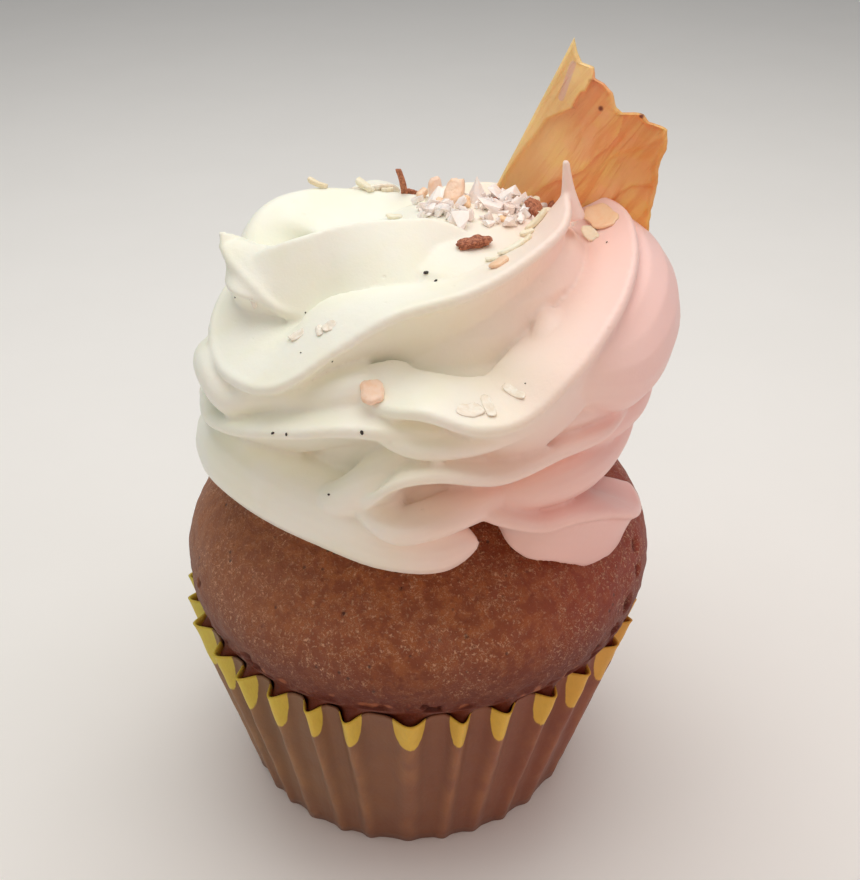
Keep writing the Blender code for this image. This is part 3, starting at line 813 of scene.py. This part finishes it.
# dried fruit slice
# It is shaped in its own upright plane: across to the right and up from its foot.
fruitSlice = {
    "foot": (24, 8, 85),
    "turn": -12,
    "lean": -8,
    "height": 28.6,
    "leftEdge": (-15.4, 0.457),  # place at the foot, and how far the straight edge goes in per height
    "rightEdge": [
        (-1, 10.4), (6.3, 10.4), (10.4, 10.9), (12.4, 10.8), (14.3, 11.3), (15.2, 11.7), (17.6, 11.5),
        (18.2, 9), (19.4, 7.9), (19.45, 7.3), (19.7, 5.4), (20.6, 4.4), (22.5, 3.7), (23.6, 2.4),
        (24, 1.2), (25.4, 0.9), (25.5, -0.7), (26.7, -1.6), (28.6, -2.25),
    ],
    "thickness": 1.2,
    "streak": [(-2.1, 25.4), (-2.7, 23.3), (-3.4, 20.8)],  # a pale streak near the tip
    "spots": [(2.3, 20.4), (7.8, 19.2)],
    "columns": 120,
    "rows": 210,
    "fullStep": 0.85,  # a fold with this step casts the deepest painted shadow below its step
    # folds: the line of each, how far its upper left side stands forward, and how sharply it drops
    "folds": [
        {
            "line": [
                (-15, 4), (-11, 9), (-8, 13.6), (-6.6, 15.3), (-5.2, 17.6), (-3.1, 18.8), (-1.8, 19.7),
                (-1.2, 21.2), (-0.7, 22.1), (0, 22.4), (0.7, 23.8), (0.9, 25.8),
            ],
            "step": 0.85, "width": 0.35, "reach": 5,
        },
        {
            "line": [
                (5.6, 20.5), (5.3, 18.3), (4.8, 16.5), (3.6, 14.7), (1.9, 13.3), (0.6, 11.8), (-1.1, 10.9),
                (-3.2, 9.9), (-4.9, 8.6), (-9, 4),
            ],
            "step": 0.5, "width": 0.6, "reach": 3,
        },
        {
            "line": [(6.6, 20.5), (5.9, 17.7), (5.2, 15.7), (3.7, 13.6), (2, 12.2), (0, 10.4)],
            "step": 0.3, "width": 0.4, "reach": 1.6,
        },
        {
            "line": [
                (12, 16.6), (9.6, 15.5), (7.6, 14.4), (5.4, 13.6), (3.7, 12.7), (2.1, 11.2), (0, 9.7),
                (-3, 6),
            ],
            "step": 0.3, "width": 0.45, "reach": 2,
        },
        {
            "line": [(12, 9.9), (10.7, 9.7), (9.3, 9.5), (7.2, 9.1), (5.9, 8.2), (3, 5)],
            "step": 0.4, "width": 0.4, "reach": 2,
        },
        {
            "line": [(-4.4, 20.4), (-5.6, 18.1), (-6.8, 15.7), (-8.4, 13.3), (-12, 7)],
            "step": 0.3, "width": 0.5, "reach": 2.5,
        },
    ],
}


def sideOfLine(line, across, up):
    # signed distance from a fold's line, more than 0 to its upper left
    best, signed = 1e9, 0.0
    for (ax, ay), (bx, by) in zip(line, line[1:]):
        dx, dy = bx - ax, by - ay
        t = max(0.0, min(1.0, ((across - ax) * dx + (up - ay) * dy) / (dx * dx + dy * dy)))
        ox, oy = across - ax - t * dx, up - ay - t * dy
        away = math.hypot(ox, oy)
        if away < best:
            cross = dx * oy - dy * ox
            if dx < 0 or (dx == 0 and dy < 0):
                cross = -cross
            best, signed = away, math.copysign(away, cross)
    return signed


def sliceRelief(across, up):
    # how far the front stands forward, how much painted shadow falls on it below a fold's step, and how far
    # the slice buckles
    forward, leeShade = 0.0, 0.0
    for fold in fruitSlice["folds"]:
        away = sideOfLine(fold["line"], across, up)
        drop = fold["step"] * float(smoothStep(-fold["width"], fold["width"], away))
        if away >= 0:
            forward += drop * math.exp(-away / fold["reach"])
        else:
            forward += drop
            leeShade = max(leeShade, fold["step"] / fruitSlice["fullStep"] * math.exp(away / (fold["reach"] * 0.7)))
    buckle = 1.1 * math.sin(0.42 * across - 0.16 * up + 0.6) + 0.5 * math.sin(0.5 * up + 0.3 * across)
    return forward, leeShade, buckle


def makeSlice():
    finish = Finish("driedFruit", Subsurface_Weight=0.25, Subsurface_Scale=0.003)
    finish.set("Subsurface Radius", (1.0, 0.4, 0.15))
    across, up = finish.kept("across"), finish.kept("up")
    # wrinkles run from the lower left to the upper right, so their noise is drawn out that way
    along = across * 0.55 + up * 0.83
    over = across * 0.83 - up * 0.55
    streaks = finish.node("ShaderNodeCombineXYZ", {}, {0: along * 0.12, 1: over * 0.9, 2: 3.0})
    wrinkle = finish.grain(1.0, 5, 0.6, streaks, 0.6)
    patch = finish.grain(4.5, 3, 0.55)
    fine = finish.grain(0.5, 4, 0.65)
    finish.set("Base Color", finish.coats(
        paint(252, 192, 134),
        (patch.step(0.35, 0.65), (250, 202, 122)),
        (wrinkle.step(0.42, 0.62) * 0.6, (236, 150, 84)),
        # painted shadow below the folds' steps
        (finish.kept("leeShade").step(0.12, 0.95) * 0.85, (226, 116, 72)),
        (across.step(3, 12) * 0.45, (226, 158, 80)),
        (finish.kept("left").step(9.0, 0.6) * 0.8, (255, 222, 158)),
        (finish.kept("streak").step(0.55, 0.3) * 0.75, (230, 192, 180)),
        (finish.kept("spot").step(0.5, 0.15) * 0.9, (96, 34, 24)),
    ))
    finish.set("Roughness", 0.38 + (patch - 0.5) * 0.3)
    finish.set("Normal", finish.bump(wrinkle * 1.2 + fine * 0.35, 0.4, 0.8))

    turn, lean = math.radians(fruitSlice["turn"]), math.radians(fruitSlice["lean"])
    side = np.array([math.cos(turn), math.sin(turn), 0.0])
    out = np.array([-math.sin(turn), math.cos(turn), 0.0])
    rise = np.array([0.0, 0.0, math.cos(lean)]) - out * math.sin(lean)
    heights, rights = zip(*fruitSlice["rightEdge"])
    leftFoot, leftSlope = fruitSlice["leftEdge"]
    rings, values = [], {"across": [], "up": [], "leeShade": [], "left": [], "streak": [], "spot": []}
    for tall in np.linspace(0.0, fruitSlice["height"], fruitSlice["rows"]):
        leftPlace = leftFoot + leftSlope * tall
        rightPlace = float(np.interp(tall, heights, rights)) + 0.12 * lumps((0, 0, tall), 0.9, 11)
        rightPlace = max(rightPlace, leftPlace + 0.15)
        front, back, rows = [], [], []
        for t in np.linspace(0, 1, fruitSlice["columns"]):
            place = leftPlace + t * (rightPlace - leftPlace)
            forward, leeShadeHere, buckle = sliceRelief(place, tall)
            edge = min(place - leftPlace, rightPlace - place)
            half = fruitSlice["thickness"] / 2 * math.sqrt(max(0.04, min(1.0, edge / 0.5)))
            middle = np.array(fruitSlice["foot"]) + side * place + rise * tall + out * buckle
            thin = float(smoothStep(0.0, 1.2, edge))
            front.append(middle - out * (half + (forward - 0.9) * thin))
            back.append(middle + out * (half - (forward - 0.9) * 0.5 * thin))
            streak = abs(sideOfLine(fruitSlice["streak"], place, tall))
            spot = min(math.hypot(place - a, tall - b) for a, b in fruitSlice["spots"])
            rows.append((place, tall, leeShadeHere, place - leftPlace, streak, spot))
        rings.append(front + back[::-1])
        for row in rows + rows[::-1]:
            for key, value in zip(values, row):
                values[key].append(value)
    points, faces = joinRings(rings)
    piece = newPiece("dried_fruit_slice", points, faces, finish, values=values)
    faceOutwards(piece)
    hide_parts("dried_fruit")
    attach(piece, "root")


# small toppings
# Each is listed as its place, its length, width and height, its heading and how far its long side
# stands up. It is then set down on the nearest cream.
toppings = {
    "toasted_flakes": [
        ((9.1, -7, 92), (4.5, 2.4, 1.5), 14, 4), ((17.6, 3.6, 92), (3.2, 2.2, 1.5), 118, 35),
        ((20.6, 8.6, 91), (1.9, 0.9, 0.8), 80, 60), ((21.2, 6, 91), (1.5, 0.9, 0.7), 130, 30),
        ((0.6, 15.2, 91), (2.2, 1.2, 0.8), 20, 10), ((12.4, 8, 92), (1.2, 0.8, 0.6), 60, 20),
    ],
    "shred": {
        "foot": (-0.4, 14.4, 90.4), "tip": (-1.3, 14, 94.5), "width": 0.95, "depth": 0.55,
        "section": [
            (-1, -0.7), (-0.7, -1), (0, -0.8), (0.7, -1), (1, -0.7), (1, 0.7), (0.7, 1), (-0.7, 1),
            (-1, 0.7),
        ],
    },
    "pale_flakes": [
        ((-13, 15.4, 91.4), (3.4, 1.6, 0.8), 165, 24), ((-6.2, 15.4, 91.4), (3.6, 1.7, 0.8), 150, 24),
        ((-2.9, 15, 91), (1.9, 1, 0.6), 10, 6), ((-1.6, 4.6, 91), (2.5, 1.3, 0.5), 168, 8),
        ((16.3, -3.4, 92.2), (2.3, 1, 0.7), 22, 8), ((18.6, -1.6, 92.2), (4.2, 1.5, 0.7), 16, 10),
        ((18.8, 3.4, 92), (3.1, 2, 1.2), 4, 10), ((25.4, 2.4, 89.6), (3.9, 2, 0.5), 110, 10),
        ((14.2, -8.6, 92), (4.8, 1.4, 0.6), 34, 6), ((17.4, 7.2, 91.8), (3.2, 2, 0.8), 12, 30),
        ((16, -6.4, 92), (2.8, 1.1, 0.5), 30, 8), ((11.4, -10.8, 92), (2.6, 0.9, 0.4), 150, 4),
    ],
    "candied_chips": [
        ((4.2, 12.4, 91), (4.2, 2.2, 1.1), 100, 66), ((4.9, 5.8, 92), (2.4, 1.6, 0.8), 120, 30),
        ((6.8, 8.8, 92), (4.4, 3.2, 1.4), 70, 46), ((8.4, 6.4, 92), (2.2, 1.2, 0.7), 95, 40),
        ((12.2, -14.6, 92.6), (2.9, 1.9, 0.6), 40, 6), ((-3.7, -26.9, 81.1), (4.4, 3.2, 1), 100, 8),
        ((27.4, 5, 90.8), (6.4, 4.4, 0.5), 118, 4), ((2.2, 13.6, 91), (2, 1.4, 0.8), 40, 30),
        ((13.8, 0.6, 92.2), (2.4, 1.4, 0.5), 160, 6),
    ],
    "sugar_crystals": [
        ((7, 10.6, 92), (2.4, 1.9, 1.8), 70, 60), ((9.7, 9, 92), (4.4, 2.6, 1.8), 96, 62),
        ((7.4, -1.4, 92.3), (4, 2.7, 1.2), 100, 26), ((14.4, 8.6, 91.6), (3.6, 2.6, 1.8), 24, 34),
        ((12.4, 9.6, 91.6), (2.8, 2.2, 1.6), 140, 40), ((16.4, 7.6, 91.8), (2.4, 1.9, 1.4), 60, 40),
        ((19.8, 9.8, 91), (1.6, 1.2, 1), 20, 20), ((23.6, 4.8, 90.6), (2.4, 1.4, 1.2), 95, 66),
        ((21.6, 8.6, 91), (2.6, 1.6, 1), 30, 40), ((4.6, 9.8, 91.6), (3.2, 2.4, 1.5), 40, 30),
        ((11.6, 5.2, 92.2), (4.2, 3, 1.3), 150, 14), ((1.6, 10.6, 90.8), (2.2, 1.6, 1.2), 15, 20),
    ],
    # loose crystals: how many, the middle and half sizes of their heap, and the smallest and largest
    "looseCrystals": {"count": 90, "middle": (10.5, 5, 92), "spread": (9.5, 6.4), "sizes": (0.7, 2.4)},
    "clear_flakes": [
        ((-13.6, -18.7, 85.1), (2.3, 2.2, 0.2), 20, 2), ((-9.3, -20.3, 87.1), (2.1, 2, 0.2), 34, 2),
        ((-10.7, -20.4, 86.7), (2.3, 1.1, 0.2), 100, 2), ((8.1, -30.8, 81.3), (3.6, 2.8, 0.22), 10, 2),
        ((10.4, -29.8, 81.3), (4.8, 1.4, 0.22), 104, 2), ((13.6, -28, 82.2), (4.2, 1.4, 0.22), 128, 2),
        ((-4.6, 17.6, 90.2), (7.6, 3.8, 0.7), 4, 12), ((-5.6, 4, 90.6), (1.4, 1, 0.3), 0, 10),
        ((-19.8, -11.4, 86), (1.6, 0.9, 0.2), 60, 2),
    ],
    "vanilla_specks": [
        ((2.8, -11.9, 90.5), 0.40), ((4.1, -13.4, 90), 0.31), ((-5, -31, 78.2), 0.33),
        ((-9.9, -29.6, 68.1), 0.22), ((-17.4, -29.2, 77), 0.26), ((-15.2, -30, 77), 0.24),
        ((-12.8, -22.5, 84.6), 0.15), ((-8.4, -24.4, 83.8), 0.16), ((-22.5, -9.3, 85.7), 0.18),
        ((-12.8, -13.7, 85.6), 0.16), ((14.6, -27.6, 83.6), 0.14), ((27.4, -2, 90), 0.16),
    ],
    "curl": 0.25,
    "sunk": 0.2,  # the share of a thing's height that is sunk in the cream
    "clearSunk": 0.4,
    "seed": 27,
}


def pebble(size, rough, seed):
    # a rough lump: a ball pushed in and out
    shape = bmesh.new()
    bmesh.ops.create_icosphere(shape, subdivisions=4, radius=0.5)
    points = []
    for corner in shape.verts:
        place = np.array(corner.co)
        push = 1 + rough * lumps(place, 0.28, seed) + 0.5 * rough * lumps(place, 0.1, seed + 1)
        points.append(place * push * size)
    faces = [tuple(corner.index for corner in face.verts) for face in shape.faces]
    shape.free()
    return points, faces


def brokenChunk(size, draw):
    # a crystal with flat breaks: the hull of corners thrown near the faces of a box
    shape = bmesh.new()
    for _ in range(13):
        corner = np.array([draw.uniform(-0.5, 0.5) for _ in range(3)])
        corner /= max(abs(corner)) * 2
        shape.verts.new(corner * size * draw.uniform(0.82, 1.0))
    hull = bmesh.ops.convex_hull(shape, input=shape.verts)
    inside = [part for part in hull["geom_interior"] if isinstance(part, bmesh.types.BMVert)]
    bmesh.ops.delete(shape, geom=inside, context="VERTS")
    shape.verts.index_update()
    points = [np.array(corner.co) for corner in shape.verts]
    faces = [tuple(corner.index for corner in face.verts) for face in shape.faces]
    shape.free()
    return points, faces


def thinFlake(size, draw):
    # a flake with a ragged outline, rounded at its rim and a little curled
    seed = draw.uniform(0, 50)
    corners = sorted(draw.uniform(0, 2 * math.pi) for _ in range(5))
    outline = []
    for turn in around(28):
        across, along = math.cos(turn), math.sin(turn)
        nearest = min(abs(math.atan2(math.sin(turn - c), math.cos(turn - c))) for c in corners)
        reach = 0.92 + 0.16 * math.exp(-nearest * 3) + 0.10 * lumps((across, along, 0), 0.35, seed)
        square = (abs(across) ** 3 + abs(along) ** 3) ** (-1 / 3)
        outline.append(0.47 * reach * square * np.array([across, along]))
    rings = []
    upperHalf = [(0.02, 0.5), (0.6, 0.5), (0.9, 0.45), (1.0, 0.2)]  # how far out, how high
    for share, high in upperHalf + [(share, -high) for share, high in upperHalf[::-1]]:
        ring = []
        for across, along in outline:
            across, along = across * share, along * share
            bend = toppings["curl"] * (across ** 2 * size[0] - 0.06 * size[0])
            bend += 0.10 * lumps((across, along, 0), 0.3, seed + 2)
            ring.append(np.array([across * size[0], along * size[1], high * size[2] + bend]))
        rings.append(ring)
    return joinRings(rings)


def setDown(creamSkin, place, size, heading, stands, sunk=toppings["sunk"]):
    # where a thing lies: its middle, and its three directions, the third off the cream
    near, normal, _, _ = creamSkin.find_nearest(Vector(place) * mm)
    up = np.array(normal) * 0.7 + np.array([0, 0, 0.3])
    up /= np.linalg.norm(up)
    turn = math.radians(heading)
    along = np.array([math.cos(turn), math.sin(turn), 0.0])
    along -= up * float(along @ up)
    along /= np.linalg.norm(along)
    across = np.cross(up, along)
    tilt = math.radians(stands)
    rise = along * math.cos(tilt) + up * math.sin(tilt)
    lift = (0.5 - sunk) * (size[2] * math.cos(tilt) + size[0] * math.sin(tilt))
    return np.array(near) / mm + up * lift, rise, across, np.cross(rise, across)


def joinThings(name, things, finish, smooth=True):
    # one piece from many shapes, each with a shade of its own
    points, faces, shades = [], [], []
    for number, ((shapePoints, shapeFaces), (middle, along, across, up)) in enumerate(things):
        faces += [tuple(index + len(points) for index in face) for face in shapeFaces]
        for a, b, c in shapePoints:
            points.append(middle + along * a + across * b + up * c)
            shades.append((number * 0.618) % 1)
    piece = newPiece(name, points, faces, finish, smooth, {"shade": shades})
    faceOutwards(piece)
    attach(piece, "root")


def toppingFinishes():
    toasted = Finish("toastedFlake", Roughness=0.62, Subsurface_Weight=0.15, Subsurface_Scale=0.0006)
    rough = toasted.grain(0.35, 4, 0.65)
    toasted.set("Base Color", toasted.coats(
        paint(142, 76, 52),
        (rough.step(0.38, 0.62), (206, 132, 98)),
        (toasted.kept("shade") * 0.35, (214, 146, 108)),
    ))
    toasted.set("Normal", toasted.bump(rough, 0.3, 0.9))

    pale = Finish("paleFlake", Roughness=0.45, Subsurface_Weight=0.35, Subsurface_Scale=0.001)
    cloud = pale.grain(0.9, 3, 0.6)
    pale.set("Base Color", pale.coats(
        paint(250, 234, 204),
        (pale.kept("shade"), (254, 248, 226)),
        (cloud.step(0.4, 0.7) * 0.4, (242, 220, 178)),
    ))
    pale.set("Normal", pale.bump(cloud + pale.grain(0.25, 2) * 0.4, 0.2, 0.7))

    candied = Finish("candiedChip", Roughness=0.3, Subsurface_Weight=0.3, Subsurface_Scale=0.0004)
    cloud = candied.grain(1.1, 3, 0.6)
    candied.set("Base Color", candied.coats(
        paint(254, 222, 202),
        (candied.kept("shade"), (252, 212, 168)),
        (cloud.step(0.42, 0.7) * 0.45, (248, 196, 148)),
    ))
    candied.set("Normal", candied.bump(cloud, 0.25, 0.7))

    crystal = Finish("sugarCrystal", Subsurface_Weight=0.3, Subsurface_Scale=0.0004)
    cloud = crystal.grain(0.8, 3, 0.6)
    crystal.set("Base Color", crystal.coats(
        paint(255, 240, 234),
        (crystal.kept("shade"), (255, 249, 246)),
        (cloud.step(0.42, 0.7) * 0.3, (250, 218, 202)),
    ))
    crystal.set("Roughness", 0.1 + cloud.step(0.35, 0.7) * 0.25)
    crystal.set("Normal", crystal.bump(cloud, 0.08, 0.5))

    clear = Finish("clearFlake", Subsurface_Weight=0.25, Subsurface_Scale=0.0003)
    cloud = clear.grain(0.9, 2)
    clear.set("Base Color", clear.coats(paint(242, 230, 212), (cloud.step(0.35, 0.65), (250, 243, 230))))
    clear.set("Roughness", 0.16 + cloud * 0.15)
    clear.set("Normal", clear.bump(cloud, 0.12, 0.6))

    for soft in (toasted, pale, candied, crystal, clear):
        soft.set("Subsurface Radius", (1.0, 0.85, 0.75))
    speck = Finish("vanillaSpeck", Roughness=0.5)
    dust = speck.grain(0.2, 2)
    speck.set("Base Color", speck.coats(paint(26, 24, 24), (dust, (62, 54, 48))))
    speck.set("Normal", speck.bump(dust, 0.05, 0.6))
    return toasted, pale, candied, crystal, clear, speck


def makeToppings(creamPiece):
    toasted, pale, candied, crystal, clear, speck = toppingFinishes()
    creamSkin = BVHTree.FromObject(creamPiece, bpy.context.evaluated_depsgraph_get())
    draw = random.Random(toppings["seed"])

    things = []
    for number, (place, size, heading, stands) in enumerate(toppings["toasted_flakes"]):
        things.append((pebble(size, 0.35, number + 3), setDown(creamSkin, place, size, heading, stands)))
    shred = toppings["shred"]
    foot, tip = np.array(shred["foot"]), np.array(shred["tip"])
    rings = []
    for t in np.linspace(0, 1, 24):
        wide = shred["width"] / 2 * (1.08 - 0.22 * t + 0.08 * lumps((0, 0, t), 0.12, 4))
        deep = shred["depth"] / 2
        middle = foot + t * (tip - foot) + np.array([0.18 * math.sin(3 * t), 0, 0])
        rings.append([middle + np.array([wide * a, deep * b, 0]) for a, b in shred["section"]])
    things.append((joinRings(rings), (np.zeros(3), *np.eye(3))))
    joinThings("toasted_flakes", things, toasted)

    for name, finish in (("pale_flakes", pale), ("candied_chips", candied), ("clear_flakes", clear)):
        sunk = toppings["clearSunk" if name == "clear_flakes" else "sunk"]
        things = [(thinFlake(size, draw), setDown(creamSkin, place, size, heading, stands, sunk))
                  for place, size, heading, stands in toppings[name]]
        joinThings(name, things, finish)

    things = [(brokenChunk(size, draw), setDown(creamSkin, place, size, heading, stands))
              for place, size, heading, stands in toppings["sugar_crystals"]]
    loose = toppings["looseCrystals"]
    halfLong, halfWide = loose["spread"]
    for _ in range(loose["count"]):
        turn, reach = draw.uniform(0, 2 * math.pi), math.sqrt(draw.random())
        x, y, z = loose["middle"]
        place = (x + halfLong * reach * math.cos(turn), y + halfWide * reach * math.sin(turn), z)
        length = draw.uniform(*loose["sizes"])
        size = (length, length * draw.uniform(0.5, 0.9), length * draw.uniform(0.4, 0.8))
        chunk = brokenChunk(size, draw)
        things.append((chunk, setDown(creamSkin, place, size, draw.uniform(0, 360), draw.uniform(0, 50))))
    joinThings("sugar_crystals", things, crystal, smooth=False)

    things = []
    for number, (place, radius) in enumerate(toppings["vanilla_specks"]):
        size = (1.7 * radius, 1.2 * radius, 0.8 * radius)
        things.append((pebble(size, 0.3, number), setDown(creamSkin, place, size, number * 50, 0)))
    joinThings("vanilla_specks", things, speck)


# floor, light and camera
studio = {
    "floor": (246, 245, 243),
    "floorSpeckle": (238, 237, 234),
    "target": (3.3, 0.0, 57.3),
    "distance": 200.0,
    "elevation": 32.6,
    "lens": 54.6,
    # the place, size, power and colour of each softbox
    "lights": [
        ((0, 100, 400), 420, 1.22, (255, 252, 246)), ((0, -330, 260), 300, 0.12, (255, 232, 214)),
        ((40, -400, 120), 320, 0.24, (255, 190, 158)), ((-380, -60, 240), 300, 0.16, (250, 252, 250)),
        ((380, -60, 220), 300, 0.22, (255, 238, 232)),
    ],
    "sky": 0.25,
}


def makeStudio():
    finish = Finish("paleFloor", Roughness=0.85)
    speckle = finish.grain(30.0, 3)
    finish.set("Base Color", finish.coats(
        paint(*studio["floor"]), (speckle.step(0.3, 0.7) * 0.15, studio["floorSpeckle"]),
    ))
    shape = bmesh.new()
    bmesh.ops.create_grid(shape, x_segments=8, y_segments=8, size=3.0)
    mesh = bpy.data.meshes.new("floor")
    shape.to_mesh(mesh)
    shape.free()
    mesh.materials.append(finish.material)
    floor = bpy.data.objects.new("floor", mesh)
    bpy.context.scene.collection.objects.link(floor)

    target = Vector(studio["target"]) * mm
    for place, size, power, colour in studio["lights"]:
        lamp = bpy.data.lights.new("softbox", "AREA")
        lamp.energy, lamp.size, lamp.color = power, size * mm, paint(*colour)
        stand = bpy.data.objects.new("softbox", lamp)
        stand.location = Vector(place) * mm
        stand.rotation_euler = (target - stand.location).to_track_quat("-Z", "Y").to_euler()
        bpy.context.scene.collection.objects.link(stand)
    world = bpy.data.worlds.new("studio air")
    bpy.context.scene.world = world
    world.use_nodes = True
    air = world.node_tree.nodes["Background"]
    air.inputs["Color"].default_value = (1.0, 1.0, 1.0, 1.0)
    air.inputs["Strength"].default_value = studio["sky"]

    tilt = math.radians(studio["elevation"])
    back = Vector((0.0, -math.cos(tilt), math.sin(tilt)))
    camera = bpy.data.cameras.new("camera")
    camera.lens = studio["lens"]
    camera.sensor_width = 36.0
    camera.clip_start = 0.001
    tripod = bpy.data.objects.new("camera", camera)
    tripod.location = target + back * studio["distance"] * mm
    tripod.rotation_euler = (-back).to_track_quat("-Z", "Y").to_euler()
    bpy.context.scene.collection.objects.link(tripod)
    bpy.context.scene.camera = tripod
    bpy.context.scene.view_settings.view_transform = "Standard"


makeCase()
print("paper case made")
makeSponge()
print("sponge made")
creamPiece = makeCream()
print("cream made")
makeSlice()
print("fruit slice made")
makeToppings(creamPiece)
print("toppings made")
makeStudio()
print("studio made")

bpy.context.view_layer.update()
